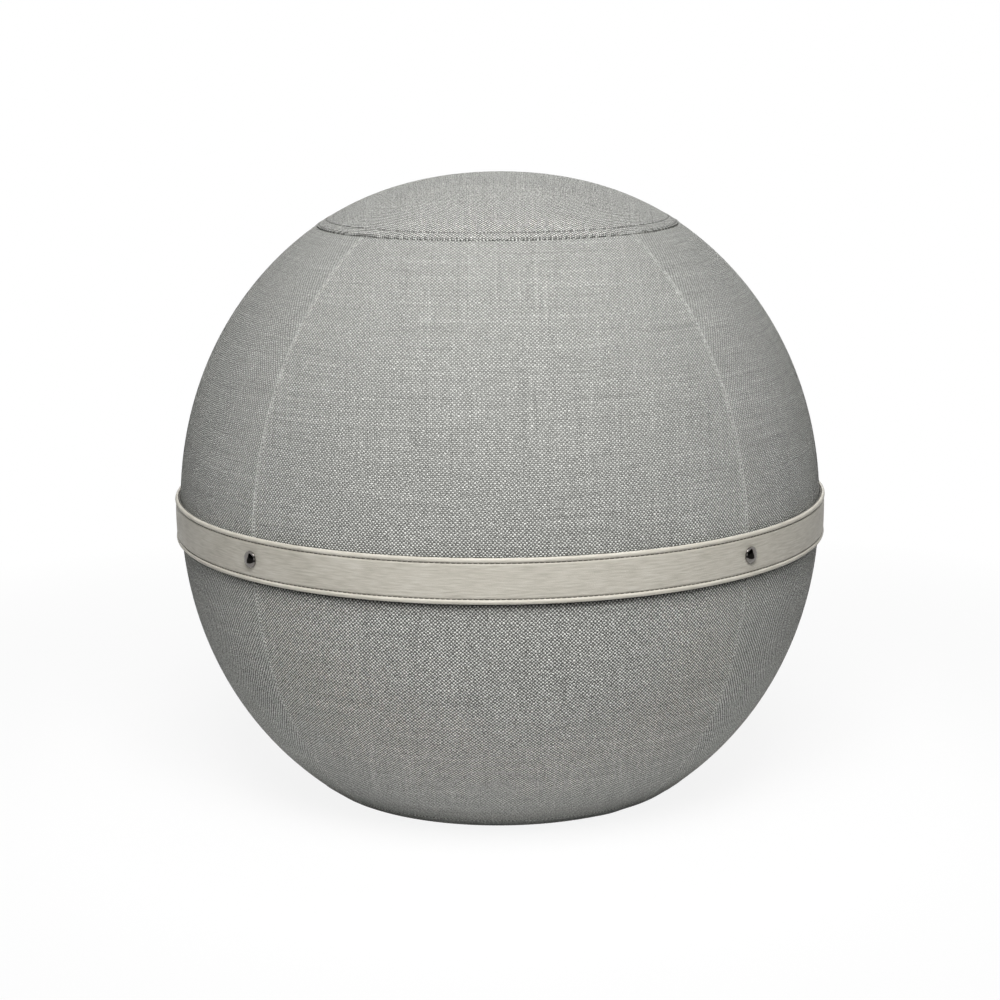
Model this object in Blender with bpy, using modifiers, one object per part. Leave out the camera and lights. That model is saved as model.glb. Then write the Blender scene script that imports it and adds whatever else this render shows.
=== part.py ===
"""Sitting ball: a sewn cover of four gores, a crown panel and a flat base, over an air bladder.

Metres, +Z up. The origin is on the floor under the middle of the base, and -Y is the front.
Azimuths are counted from the front, turning towards +X.
"""

import math

import bmesh
import bpy
from mathutils import Matrix

# Ball and cover
BALL_DIAMETER = 0.550
EQUATOR_HEIGHT = 0.240
CROWN_RISE = 0.288
FOOT_RADIUS = 0.156
ROUNDNESS = 2.055
COVER_WALL = 0.0022
CROWN_SEAM_RADIUS = 0.153
BASE_SEAM_HEIGHT = 0.008
BASE_RIM_ROUND = 0.004
GORE_COUNT = 4
FIT_GAP = 0.0003

# Belt and its rivets
BELT_WIDTH = 0.036
BELT_HEIGHT = 0.2375
BELT_FACE_THICKNESS = 0.0022
BELT_LINING_THICKNESS = 0.0014
BELT_TURNED_EDGE = 0.001
BELT_EDGE_ROUND = 0.0009
LINING_JOINT_AZIMUTH = math.radians(202.5)
FACE_JOINT_AZIMUTH = math.radians(180)
RIVET_CAP_DIAMETER = 0.0135
RIVET_CAP_RIM = 0.0010
RIVET_CAP_DOME = 0.0026
RIVET_POST_RADIUS = 0.0020
RIVET_BURR_RADIUS = 0.0047
RIVET_BURR_THICKNESS = 0.0008

# Bladder and valve
BLADDER_WALL = 0.0025
BLADDER_CLEARANCE = 0.0009
BLADDER_TURN_HEIGHT = 0.062
BLADDER_FLAT_INSET = 0.035
VALVE_HOLE_RADIUS = 0.0046
VALVE_STEM_LENGTH = 0.012
VALVE_FLANGE_RADIUS = 0.009
VALVE_FLANGE_THICKNESS = 0.0015
VALVE_KNOB_RADIUS = 0.0045
VALVE_KNOB_LENGTH = 0.004

# Ballast ring on the base
BALLAST_INNER_RADIUS = 0.045
BALLAST_RIM_MARGIN = 0.026
BALLAST_THICKNESS = 0.027
POUCH_WALL = 0.0010
POUCH_FLANGE = 0.008

# Zip along the lower edge of the back gore
ZIP_WIDTH = 0.014
ZIP_TAPE_THICKNESS = 0.0010
ZIP_CHAIN_END = math.radians(40)
ZIP_SLIDER_REST = math.radians(36.5)
CHAIN_STEM_WIDTH = 0.0012
CHAIN_STEM_HEIGHT = 0.0013
CHAIN_HEAD_WIDTH = 0.0030
CHAIN_HEAD_HEIGHT = 0.0018
SLIDER_LENGTH = 0.009
SLIDER_WALL = 0.0011
SLIDER_LIP = 0.0006
EAR_LENGTH = 0.0036
EAR_THICKNESS = 0.0009
EAR_SPACING = 0.0042
BAR_RADIUS = 0.0007
BAR_CLEARANCE_HEIGHT = 0.0024
PULL_LENGTH = 0.013
PULL_WIDTH = 0.0048
PULL_NECK_WIDTH = 0.0032
PULL_THICKNESS = 0.0013
PULL_EYE_RADIUS = 0.0018
ZIP_STOP_LENGTH = 0.0030
ZIP_STOP_WIDTH = 0.0070
ZIP_STOP_HEIGHT = 0.0026

# Facets
TURN_STEPS = 48
BLADDER_STEPS = 24
SMALL_STEPS = 12
GORE_ROWS = 18
CROWN_ROWS = 6
BLADDER_ROWS = 11
CORNER_ROWS = 4

BALL_RADIUS = BALL_DIAMETER / 2
LOWER_DROP = EQUATOR_HEIGHT / (1 - (FOOT_RADIUS / BALL_RADIUS) ** ROUNDNESS) ** (1 / ROUNDNESS)
BACK = math.pi
SEAM_AZIMUTHS = [math.tau * (i + 0.5) / GORE_COUNT for i in range(GORE_COUNT)]
GORE_NAMES = ["gore_right", "gore_back", "gore_left", "gore_front"]


# Cover profile: a superellipse over the equator and one under it, offset along its normal

def half_height(up):
    return CROWN_RISE if up >= 0 else LOWER_DROP


def angle_at_height(height):
    z = height - EQUATOR_HEIGHT
    return math.copysign(math.asin((abs(z) / half_height(z)) ** (ROUNDNESS / 2)), z)


def angle_at_crown_radius(radius):
    return math.acos((radius / BALL_RADIUS) ** (ROUNDNESS / 2))


def cover_point(angle, offset=0.0):
    across = max(math.cos(angle), 0.0) ** (2 / ROUNDNESS)
    up = math.copysign(abs(math.sin(angle)) ** (2 / ROUNDNESS), angle)
    slope_r = across ** (ROUNDNESS - 1) / BALL_RADIUS
    rise = half_height(up)
    slope_z = math.copysign(abs(up) ** (ROUNDNESS - 1), up) / rise
    length = math.hypot(slope_r, slope_z)
    radius = across * BALL_RADIUS + offset * slope_r / length
    return radius, EQUATOR_HEIGHT + up * rise + offset * slope_z / length


def cover_arc(top_angle, low_angle, rows, offset=0.0):
    step = (low_angle - top_angle) / rows
    return [cover_point(top_angle + step * i, offset) for i in range(rows + 1)]


def rounded_corner(start, corner, end, rows):
    points = []
    for i in range(rows + 1):
        t = i / rows
        weights = ((1 - t) ** 2, 2 * t * (1 - t), t ** 2)
        points.append(tuple(
            sum(w * p[k] for w, p in zip(weights, (start, corner, end))) for k in (0, 1)
        ))
    return points


# Scene and materials

def clear_scene():
    for obj in list(bpy.data.objects):
        bpy.data.objects.remove(obj, do_unlink=True)


def new_collection(name):
    collection = bpy.data.collections.new(name)
    bpy.context.scene.collection.children.link(collection)
    return collection


def material(name, color, roughness, metallic=0.0):
    mat = bpy.data.materials.new(name)
    mat.use_nodes = True
    shader = mat.node_tree.nodes["Principled BSDF"]
    shader.inputs["Base Color"].default_value = (*color, 1.0)
    shader.inputs["Roughness"].default_value = roughness
    shader.inputs["Metallic"].default_value = metallic
    return mat


# Mesh makers

def add_object(name, mesh, mat, collection):
    obj = bpy.data.objects.new(name, mesh)
    if mat:
        mesh.materials.append(mat)
    collection.objects.link(obj)
    return obj


def turned(name, profile, mat, collection, steps=TURN_STEPS, ring=False):
    count = len(profile)
    edges = [(i, i + 1) for i in range(count - 1)]
    if ring:
        edges.append((count - 1, 0))
    mesh = bpy.data.meshes.new(name)
    mesh.from_pydata([(r, 0, z) for r, z in profile], edges, [])
    obj = add_object(name, mesh, mat, collection)
    screw = obj.modifiers.new("turn", "SCREW")
    screw.axis = "Z"
    screw.angle = math.tau
    screw.steps = screw.render_steps = steps
    screw.use_merge_vertices = True
    screw.merge_threshold = 0.00001
    screw.use_smooth_shade = True
    return obj


def swept(name, section, start, sweep, steps, mat, collection):
    bm = bmesh.new()
    verts = [bm.verts.new((r * math.sin(start), -r * math.cos(start), z)) for r, z in section]
    face = bm.faces.new(verts)
    bmesh.ops.spin(
        bm, geom=[face], cent=(0, 0, 0), axis=(0, 0, 1), dvec=(0, 0, 0),
        angle=sweep, steps=steps, use_duplicate=False,
    )
    bmesh.ops.recalc_face_normals(bm, faces=bm.faces)
    return finish_bmesh(name, bm, mat, collection)


def finish_bmesh(name, bm, mat, collection):
    mesh = bpy.data.meshes.new(name)
    bm.to_mesh(mesh)
    bm.free()
    mesh.shade_smooth()
    mesh.set_sharp_from_angle(angle=math.radians(35))
    return add_object(name, mesh, mat, collection)


def block(name, size, place, mat, collection):
    bm = bmesh.new()
    bmesh.ops.create_cube(bm, size=1.0, matrix=place @ Matrix.Diagonal((*size, 1.0)))
    return finish_bmesh(name, bm, mat, collection)


def rod(name, radius, length, place, mat, collection):
    bm = bmesh.new()
    bmesh.ops.create_cone(
        bm, cap_ends=True, segments=SMALL_STEPS, radius1=radius, radius2=radius,
        depth=length, matrix=place,
    )
    return finish_bmesh(name, bm, mat, collection)


def boolean(obj, other, operation):
    other.hide_render = True
    other.display_type = "WIRE"
    change = obj.modifiers.new(other.name, "BOOLEAN")
    change.operation = operation
    change.solver = "EXACT"
    change.object = other


# Cover

def make_crown(mat, parts):
    low = angle_at_crown_radius(CROWN_SEAM_RADIUS)
    outer = cover_arc(math.pi / 2, low, CROWN_ROWS)
    inner = cover_arc(math.pi / 2, low, CROWN_ROWS, -COVER_WALL)
    outer[0] = (0, outer[0][1])
    inner[0] = (0, inner[0][1])
    return turned("crown_panel", outer + inner[::-1], mat, parts)


def zip_frame():
    low_r, low_z = cover_point(angle_at_height(BASE_SEAM_HEIGHT))
    top = angle_at_height(BASE_SEAM_HEIGHT)
    while math.dist(cover_point(top), (low_r, low_z)) < ZIP_WIDTH:
        top += 0.0002
    top_r, top_z = cover_point(top)
    along = ((top_r - low_r) / ZIP_WIDTH, (top_z - low_z) / ZIP_WIDTH)
    return (low_r, low_z), along, top


def make_gores(mat, parts):
    top = angle_at_crown_radius(CROWN_SEAM_RADIUS + FIT_GAP)
    side_low = angle_at_height(BASE_SEAM_HEIGHT + FIT_GAP)
    back_low = zip_frame()[2]
    gap = FIT_GAP / CROWN_SEAM_RADIUS
    sweep = math.tau / GORE_COUNT - 2 * gap
    gores = []
    for name, azimuth in zip(GORE_NAMES, SEAM_AZIMUTHS):
        low = back_low if name == "gore_back" else side_low
        outer = cover_arc(top, low, GORE_ROWS)
        inner = cover_arc(top, low, GORE_ROWS, -COVER_WALL)
        steps = TURN_STEPS // GORE_COUNT
        gores.append(swept(name, outer + inner[::-1], azimuth + gap, sweep, steps, mat, parts))
    return gores


def make_base(mat, parts):
    skirt = angle_at_height(BASE_SEAM_HEIGHT)
    rim = cover_point(angle_at_height(BASE_RIM_ROUND))
    foot = cover_point(angle_at_height(0))
    flat = (foot[0] - BASE_RIM_ROUND, 0)
    inner_foot = cover_point(angle_at_height(COVER_WALL), -COVER_WALL)
    profile = [(0, COVER_WALL), (inner_foot[0] - BASE_RIM_ROUND, COVER_WALL)]
    profile += [cover_point(skirt, -COVER_WALL), cover_point(skirt)]
    profile += rounded_corner(rim, foot, flat, CORNER_ROWS)
    profile.append((0, 0))
    return turned("base_panel", profile, mat, parts)


# Air and weight inside

def ballast_levels():
    low = COVER_WALL + FIT_GAP
    return low, low + BALLAST_THICKNESS


def make_ballast(fill_mat, pouch_mat, parts):
    low, top = ballast_levels()
    outer, inner = FOOT_RADIUS - BALLAST_RIM_MARGIN, BALLAST_INNER_RADIUS
    wall = POUCH_WALL
    pouch = [
        (outer, top), (outer, low + wall), (outer + POUCH_FLANGE, low + wall),
        (outer + POUCH_FLANGE, low), (outer - wall, low), (outer - wall, top - wall),
        (inner + wall, top - wall), (inner + wall, low), (inner - POUCH_FLANGE, low),
        (inner - POUCH_FLANGE, low + wall), (inner, low + wall), (inner, top),
    ]
    turned("ballast_pouch", pouch, pouch_mat, parts, BLADDER_STEPS, ring=True)
    clear = wall + FIT_GAP
    fill = [
        (outer - clear, top - clear), (outer - clear, low),
        (inner + clear, low), (inner + clear, top - clear),
    ]
    turned("ballast_fill", fill, fill_mat, parts, BLADDER_STEPS, ring=True)


def bladder_floor():
    return ballast_levels()[1] + FIT_GAP


def bladder_side(depth):
    floor = bladder_floor() + depth
    offset = -COVER_WALL - BLADDER_CLEARANCE - depth
    turn = angle_at_height(BLADDER_TURN_HEIGHT)
    side = cover_arc(math.pi / 2, turn, BLADDER_ROWS, offset)
    side[0] = (0, side[0][1])
    corner = (cover_point(angle_at_height(floor), offset)[0], floor)
    flat = (corner[0] - BLADDER_FLAT_INSET, floor)
    side += rounded_corner(side[-1], corner, flat, CORNER_ROWS)[1:]
    return side + [(VALVE_HOLE_RADIUS, floor)]


def make_bladder(mat, parts):
    profile = bladder_side(0) + bladder_side(BLADDER_WALL)[::-1]
    return turned("bladder", profile, mat, parts, BLADDER_STEPS)


def make_valve_plug(mat, parts):
    stem = VALVE_HOLE_RADIUS - FIT_GAP
    seat = -FIT_GAP
    flange = seat - VALVE_FLANGE_THICKNESS
    knob = flange - VALVE_KNOB_LENGTH
    profile = [
        (0, VALVE_STEM_LENGTH), (stem, VALVE_STEM_LENGTH), (stem, seat),
        (VALVE_FLANGE_RADIUS, seat), (VALVE_FLANGE_RADIUS, flange),
        (VALVE_KNOB_RADIUS, flange), (VALVE_KNOB_RADIUS, knob), (0, knob),
    ]
    plug = turned("valve_plug", profile, mat, parts, SMALL_STEPS)
    plug.location.z = bladder_floor()
    return plug


# Belt and rivets

def belt_band(height, offset):
    return cover_point(angle_at_height(height), offset)


def make_belt(face_mat, lining_mat, parts):
    half = BELT_WIDTH / 2
    lining_half = half - BELT_TURNED_EDGE
    low_side = FIT_GAP
    lining_out = low_side + BELT_LINING_THICKNESS
    face_in = lining_out + FIT_GAP
    face_out = face_in + BELT_FACE_THICKNESS
    round_half = half - BELT_EDGE_ROUND
    lining = [belt_band(BELT_HEIGHT + k * lining_half, lining_out) for k in (1, 0, -1)]
    lining += [belt_band(BELT_HEIGHT + k * lining_half, low_side) for k in (-1, 0, 1)]
    face = [belt_band(BELT_HEIGHT + half, face_out - BELT_EDGE_ROUND)]
    face += [belt_band(BELT_HEIGHT + k * round_half, face_out) for k in (1, 0, -1)]
    face.append(belt_band(BELT_HEIGHT - half, face_out - BELT_EDGE_ROUND))
    face += [belt_band(BELT_HEIGHT + k * half, face_in) for k in (-1, 0, 1)]
    gap = FIT_GAP / BALL_RADIUS
    sweep = math.tau - 2 * gap
    return [
        swept("belt_lining", lining, LINING_JOINT_AZIMUTH + gap, sweep, TURN_STEPS, lining_mat, parts),
        swept("belt_face", face, FACE_JOINT_AZIMUTH + gap, sweep, TURN_STEPS, face_mat, parts),
    ]


def rivet_place(azimuth):
    radius = belt_band(BELT_HEIGHT, 0)[0]
    outward = Matrix.Rotation(azimuth - math.pi / 2, 4, "Z") @ Matrix.Rotation(math.pi / 2, 4, "Y")
    spot = (radius * math.sin(azimuth), -radius * math.cos(azimuth), BELT_HEIGHT)
    return Matrix.Translation(spot) @ outward


def make_rivets(cap_mat, burr_mat, parts, cutters, gores, belt):
    seat = BELT_LINING_THICKNESS + BELT_FACE_THICKNESS + 3 * FIT_GAP
    hole = RIVET_POST_RADIUS + FIT_GAP
    burr_face = -COVER_WALL
    burr_top = burr_face + RIVET_BURR_THICKNESS
    recess_top = burr_top + FIT_GAP
    recess_radius = RIVET_BURR_RADIUS + FIT_GAP
    beyond = RIVET_CAP_DIAMETER
    half = RIVET_CAP_DIAMETER / 2
    dome = [(half * math.cos(a), seat + RIVET_CAP_RIM + RIVET_CAP_DOME * math.sin(a))
            for a in (math.radians(15 * i) for i in range(5, -1, -1))]
    cap = [(0, seat + RIVET_CAP_RIM + RIVET_CAP_DOME)] + dome
    cap += [(half, seat), (RIVET_POST_RADIUS, seat), (RIVET_POST_RADIUS, burr_face), (0, burr_face)]
    burr = [(RIVET_BURR_RADIUS, burr_top), (RIVET_BURR_RADIUS, burr_face),
            (hole, burr_face), (hole, burr_top)]
    cut = [(0, beyond), (hole, beyond), (hole, recess_top), (recess_radius, recess_top),
           (recess_radius, -beyond), (0, -beyond)]
    for index, azimuth in enumerate(SEAM_AZIMUTHS):
        number = index + 1
        place = rivet_place(azimuth)
        turned(f"rivet_cap_{number}", cap, cap_mat, parts, SMALL_STEPS).matrix_world = place
        turned(f"rivet_burr_{number}", burr, burr_mat, parts, SMALL_STEPS, ring=True).matrix_world = place
        cutter = turned(f"rivet_hole_{number}", cut, None, cutters, SMALL_STEPS)
        cutter.matrix_world = place
        for piece in (gores[index], gores[index - 1], *belt):
            boolean(piece, cutter, "DIFFERENCE")


# Zip: its section is laid out as (up the wall, out from the wall)

def zip_section(points):
    (low_r, low_z), (along_r, along_z), _ = zip_frame()
    return [(low_r + s * along_r + h * along_z, low_z + s * along_z - h * along_r) for s, h in points]


def zip_sector(name, points, start, end, mat, parts):
    section = zip_section(points)
    steps = max(1, round((end - start) / math.tau * TURN_STEPS))
    return swept(name, section, BACK + start, end - start, steps, mat, parts)


def zip_place(azimuth, up, out):
    (radius, height), = zip_section([(up, out)])
    _, (along_r, along_z), _ = zip_frame()
    turn = BACK + azimuth
    outward = (math.sin(turn), -math.cos(turn))
    run = (math.cos(turn), math.sin(turn), 0)
    rise = (along_r * outward[0], along_r * outward[1], along_z)
    proud = (along_z * outward[0], along_z * outward[1], -along_r)
    spot = (radius * outward[0], radius * outward[1], height)
    return Matrix([(run[k], rise[k], proud[k], spot[k]) for k in range(3)] + [(0, 0, 0, 1)])


def chain_levels():
    stem = FIT_GAP + CHAIN_STEM_HEIGHT
    return stem, stem + CHAIN_HEAD_HEIGHT


def make_zip_tapes(tape_mat, chain_mat, parts):
    mid = ZIP_WIDTH / 2
    edge = FIT_GAP / 2
    stem_top, head_top = chain_levels()
    tape_end = math.pi / GORE_COUNT - 2 * FIT_GAP / CROWN_SEAM_RADIUS
    for side, word in ((1, "upper"), (-1, "lower")):
        tape = [(mid + side * edge, 0), (mid + side * (mid - FIT_GAP), 0),
                (mid + side * (mid - FIT_GAP), -ZIP_TAPE_THICKNESS), (mid + side * edge, -ZIP_TAPE_THICKNESS)]
        zip_sector(f"zip_tape_{word}", tape, -tape_end, tape_end, tape_mat, parts)
        chain = [(edge, FIT_GAP), (CHAIN_STEM_WIDTH, FIT_GAP), (CHAIN_STEM_WIDTH, stem_top),
                 (CHAIN_HEAD_WIDTH, stem_top), (CHAIN_HEAD_WIDTH, head_top), (edge, head_top)]
        chain = [(mid + side * s, h) for s, h in chain]
        zip_sector(f"zip_chain_{word}", chain, -ZIP_CHAIN_END, ZIP_CHAIN_END, chain_mat, parts)


def make_zip_stops(mat, parts):
    radius = zip_section([(ZIP_WIDTH / 2, 0)])[0][0]
    reach = ZIP_CHAIN_END + (FIT_GAP + ZIP_STOP_LENGTH / 2) / radius
    size = (ZIP_STOP_LENGTH, ZIP_STOP_WIDTH, ZIP_STOP_HEIGHT)
    for side, word in ((1, "closed"), (-1, "open")):
        place = zip_place(side * reach, ZIP_WIDTH / 2, FIT_GAP + ZIP_STOP_HEIGHT / 2)
        block(f"zip_stop_{word}", size, place, mat, parts)


def make_zip_slider(mat, parts, cutters):
    stem_top, head_top = chain_levels()
    lip_low = stem_top - FIT_GAP - SLIDER_LIP
    inside = CHAIN_HEAD_WIDTH + FIT_GAP
    outside = inside + SLIDER_WALL
    lip_in = CHAIN_STEM_WIDTH + FIT_GAP
    roof_low = head_top + FIT_GAP
    roof = roof_low + SLIDER_WALL
    half = [(outside, roof), (outside, lip_low), (lip_in, lip_low), (lip_in, lip_low + SLIDER_LIP),
            (inside, lip_low + SLIDER_LIP), (inside, roof_low)]
    section = half + [(-s, h) for s, h in half[::-1]]
    bar_height = roof + BAR_CLEARANCE_HEIGHT
    ear_top = bar_height + BAR_RADIUS + SLIDER_WALL
    local = zip_place(ZIP_SLIDER_REST, ZIP_WIDTH / 2, 0)
    bm = bmesh.new()
    face = bm.faces.new([bm.verts.new((-SLIDER_LENGTH / 2, s, h)) for s, h in section])
    grown = bmesh.ops.extrude_face_region(bm, geom=[face])
    moved = [v for v in grown["geom"] if isinstance(v, bmesh.types.BMVert)]
    bmesh.ops.translate(bm, verts=moved, vec=(SLIDER_LENGTH, 0, 0))
    bmesh.ops.transform(bm, matrix=local, verts=bm.verts)
    bmesh.ops.recalc_face_normals(bm, faces=bm.faces)
    slider = finish_bmesh("zip_slider", bm, mat, parts)
    sunk = SLIDER_WALL / 2
    ear_size = (EAR_LENGTH, EAR_THICKNESS, ear_top - roof + sunk)
    for side, word in ((1, "upper"), (-1, "lower")):
        centre = (0, side * (EAR_SPACING + EAR_THICKNESS) / 2, (ear_top + roof - sunk) / 2)
        place = local @ Matrix.Translation(centre)
        boolean(slider, block(f"slider_ear_{word}", ear_size, place, None, cutters), "UNION")
    across = Matrix.Translation((0, 0, bar_height)) @ Matrix.Rotation(math.pi / 2, 4, "X")
    bar_length = EAR_SPACING + EAR_THICKNESS
    boolean(slider, rod("slider_bar", BAR_RADIUS, bar_length, local @ across, None, cutters), "UNION")
    return zip_place(ZIP_SLIDER_REST, ZIP_WIDTH / 2, bar_height)


def make_zip_pull(place, mat, parts, cutters):
    across = Matrix.Rotation(math.pi / 2, 4, "X")
    pull = rod("zip_pull", PULL_EYE_RADIUS, PULL_NECK_WIDTH, across, mat, parts)
    neck_length = PULL_EYE_RADIUS + EAR_LENGTH
    neck = block("pull_neck", (neck_length, PULL_NECK_WIDTH, PULL_THICKNESS),
                 Matrix.Translation((-neck_length / 2, 0, 0)), None, cutters)
    tab_length = PULL_LENGTH - EAR_LENGTH
    tab_middle = -EAR_LENGTH - tab_length / 2
    tab = block("pull_tab", (tab_length, PULL_WIDTH, PULL_THICKNESS),
                Matrix.Translation((tab_middle, 0, 0)), None, cutters)
    bore = rod("pull_bore", BAR_RADIUS + FIT_GAP, 2 * PULL_NECK_WIDTH, across, None, cutters)
    for piece, operation in ((neck, "UNION"), (tab, "UNION"), (bore, "DIFFERENCE")):
        boolean(pull, piece, operation)
        piece.matrix_world = place
    pull.matrix_world = place


def main():
    clear_scene()
    parts = new_collection("sitting_ball")
    cutters = new_collection("cutters")
    cutters.hide_render = True
    fabric = material("cover_fabric", (0.45, 0.45, 0.43), 0.95)
    base_cloth = material("base_cloth", (0.20, 0.20, 0.20), 0.9)
    faux_leather = material("belt_faux_leather", (0.52, 0.49, 0.43), 0.6)
    lining_cloth = material("belt_lining_cloth", (0.35, 0.34, 0.31), 0.9)
    gunmetal = material("rivet_gunmetal", (0.16, 0.15, 0.14), 0.35, 1.0)
    vinyl = material("bladder_vinyl", (0.60, 0.60, 0.62), 0.45)
    plug_plastic = material("valve_plug_plastic", (0.85, 0.85, 0.83), 0.5)
    granulate = material("ballast_granulate", (0.45, 0.40, 0.33), 0.95)
    pouch_cloth = material("pouch_cloth", (0.25, 0.25, 0.26), 0.95)
    zip_tape = material("zip_tape_cloth", (0.30, 0.30, 0.29), 0.9)
    zip_teeth = material("zip_teeth_nylon", (0.30, 0.30, 0.29), 0.5)
    zip_metal = material("zip_metal", (0.35, 0.34, 0.33), 0.4, 1.0)

    make_crown(fabric, parts)
    gores = make_gores(fabric, parts)
    make_base(base_cloth, parts)
    make_ballast(granulate, pouch_cloth, parts)
    make_bladder(vinyl, parts)
    make_valve_plug(plug_plastic, parts)
    belt = make_belt(faux_leather, lining_cloth, parts)
    make_rivets(gunmetal, gunmetal, parts, cutters, gores, belt)
    make_zip_tapes(zip_tape, zip_teeth, parts)
    make_zip_stops(zip_metal, parts)
    bar_place = make_zip_slider(zip_metal, parts, cutters)
    make_zip_pull(bar_place, zip_metal, parts, cutters)


main()
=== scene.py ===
import math
from bisect import bisect

import bpy
from mathutils import Matrix, Vector


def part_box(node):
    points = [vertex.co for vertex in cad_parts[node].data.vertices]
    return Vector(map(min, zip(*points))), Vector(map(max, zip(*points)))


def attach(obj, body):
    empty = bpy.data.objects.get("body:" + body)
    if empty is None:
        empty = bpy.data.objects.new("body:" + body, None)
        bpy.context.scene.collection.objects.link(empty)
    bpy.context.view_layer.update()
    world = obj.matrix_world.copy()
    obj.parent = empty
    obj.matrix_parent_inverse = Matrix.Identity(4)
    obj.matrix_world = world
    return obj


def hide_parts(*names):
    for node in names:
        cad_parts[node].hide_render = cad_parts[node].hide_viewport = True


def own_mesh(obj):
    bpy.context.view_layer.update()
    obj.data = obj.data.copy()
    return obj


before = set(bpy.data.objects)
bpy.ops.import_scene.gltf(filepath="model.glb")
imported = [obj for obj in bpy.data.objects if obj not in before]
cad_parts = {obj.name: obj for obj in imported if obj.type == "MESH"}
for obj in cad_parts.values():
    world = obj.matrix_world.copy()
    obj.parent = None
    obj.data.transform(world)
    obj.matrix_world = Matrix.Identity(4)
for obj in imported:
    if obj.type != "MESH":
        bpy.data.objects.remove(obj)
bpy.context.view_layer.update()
print("frame loaded:", len(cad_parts), "nodes")

# camera at the photograph's viewing angle
view = dict(distance=2.019, height=0.6647, tilt=11.82, roll=-0.51, lens=85.5, sensor=36.0, nearest=0.05)
tilted = Matrix.Rotation(math.radians(90 - view["tilt"]), 4, "X")
rolled = Matrix.Rotation(math.radians(view["roll"]), 4, "Z")
bpy.ops.object.select_all(action="DESELECT")
bpy.ops.object.camera_add(location=(0, -view["distance"], view["height"]),
                          rotation=(tilted @ rolled).to_euler())
camera = bpy.context.object
camera.data.lens = view["lens"]
camera.data.sensor_width = view["sensor"]
camera.data.clip_start = view["nearest"]
bpy.context.scene.camera = camera
print("camera set")

# the sewn cover: upper and lower half of a superellipse, turned round the upright axis
cover = dict(
    radius=0.275,
    equator=0.240,
    crownTop=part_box("crown_panel")[1].z,
    crownSeam=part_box("crown_panel")[1].x,
    footRadius=0.156,
    roundness=2.055,
    baseSeam=0.008,  # height of the seam between gores and base
    wall=0.0012,
    meet=0.00004,  # half the gap between two sewn edges
    turnIn=0.0026,  # how deep the sewn edge turns inside
    crownMeet=0.00018,  # wider at the crown, where gores and crown move apart
    crownTurnIn=0.0012,
)
cover["rise"] = cover["crownTop"] - cover["equator"]
footShare = (cover["footRadius"] / cover["radius"]) ** cover["roundness"]
cover["drop"] = cover["equator"] / (1 - footShare) ** (1 / cover["roundness"])
goreHalf = math.pi / 4
clothCentre = Vector((0, 0, cover["equator"]))


def halfHeight(up):
    return cover["rise"] if up >= 0 else cover["drop"]


def angleAtHeight(height):
    z = height - cover["equator"]
    share = min(1.0, abs(z) / halfHeight(z))
    return math.copysign(math.asin(share ** (cover["roundness"] / 2)), z)


def angleAtCrownRadius(radius):
    return math.acos((radius / cover["radius"]) ** (cover["roundness"] / 2))


def coverPoint(angle, offset=0.0):
    power = cover["roundness"]
    across = max(math.cos(angle), 0.0) ** (2 / power)
    up = math.copysign(abs(math.sin(angle)) ** (2 / power), angle)
    rise = halfHeight(up)
    slopeR = across ** (power - 1) / cover["radius"]
    slopeZ = math.copysign(abs(up) ** (power - 1), up) / rise
    length = math.hypot(slopeR, slopeZ)
    radius = across * cover["radius"] + offset * slopeR / length
    return radius, cover["equator"] + up * rise + offset * slopeZ / length


# arc length from the pole down, so that rows and weave are even along the cloth
arcSteps = 4000
lowestAngle = angleAtHeight(0.0)
arcAngles = [math.pi / 2 - (math.pi / 2 - lowestAngle) * i / arcSteps for i in range(arcSteps + 1)]
arcLengths = [0.0]
for lastAngle, nextAngle in zip(arcAngles, arcAngles[1:]):
    arcLengths.append(arcLengths[-1] + math.dist(coverPoint(lastAngle), coverPoint(nextAngle)))


def arcAtAngle(angle):
    place = (math.pi / 2 - angle) / (math.pi / 2 - lowestAngle) * arcSteps
    index = min(max(int(place), 0), arcSteps - 1)
    return arcLengths[index] + (place - index) * (arcLengths[index + 1] - arcLengths[index])


def angleAtArc(length):
    low = min(max(bisect(arcLengths, length) - 1, 0), arcSteps - 1)
    share = (length - arcLengths[low]) / (arcLengths[low + 1] - arcLengths[low])
    return arcAngles[low] + share * (arcAngles[low + 1] - arcAngles[low])


def aroundPoint(radius, turn, height):
    # turn is counted from the front, towards the right
    return Vector((radius * math.sin(turn), -radius * math.cos(turn), height))


def turnFrom(start, turn):
    return (turn - start + math.pi) % math.tau - math.pi


def bell(distance, width):
    return math.exp(-(distance / width) ** 2)


def deselectAll():
    bpy.ops.object.select_all(action="DESELECT")


def editMode():
    bpy.ops.object.mode_set(mode="EDIT")


def objectMode():
    bpy.ops.object.mode_set(mode="OBJECT")


def selectAll():
    bpy.ops.mesh.select_all(action="SELECT")


def applyPlace():
    bpy.ops.object.transform_apply(location=True, rotation=True, scale=True)


def smoothBelow(degrees):
    bpy.ops.object.shade_smooth_by_angle(angle=math.radians(degrees))


def newCopy(name, mesh):
    copy = bpy.data.objects.new(name, mesh.copy())
    bpy.context.scene.collection.objects.link(copy)
    return copy


def makeActive(piece):
    deselectAll()
    piece.select_set(True)
    bpy.context.view_layer.objects.active = piece


def applyModifiers(piece):
    makeActive(piece)
    for modifier in list(piece.modifiers):
        bpy.ops.object.modifier_apply(modifier=modifier.name)


facing = 0.9    # a face looks along an axis when its normal has more than this of it


def selectFaces(piece, wanted):
    bpy.context.tool_settings.mesh_select_mode = (False, False, True)
    editMode()
    bpy.ops.mesh.select_all(action="DESELECT")
    objectMode()
    for polygon in piece.data.polygons:
        polygon.select = wanted(polygon)
    editMode()


def nameNewPiece(name):
    piece = bpy.context.object
    piece.name = name
    piece.data.name = name
    return piece


weldReach = 0.000002    # points closer than this become one


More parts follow.
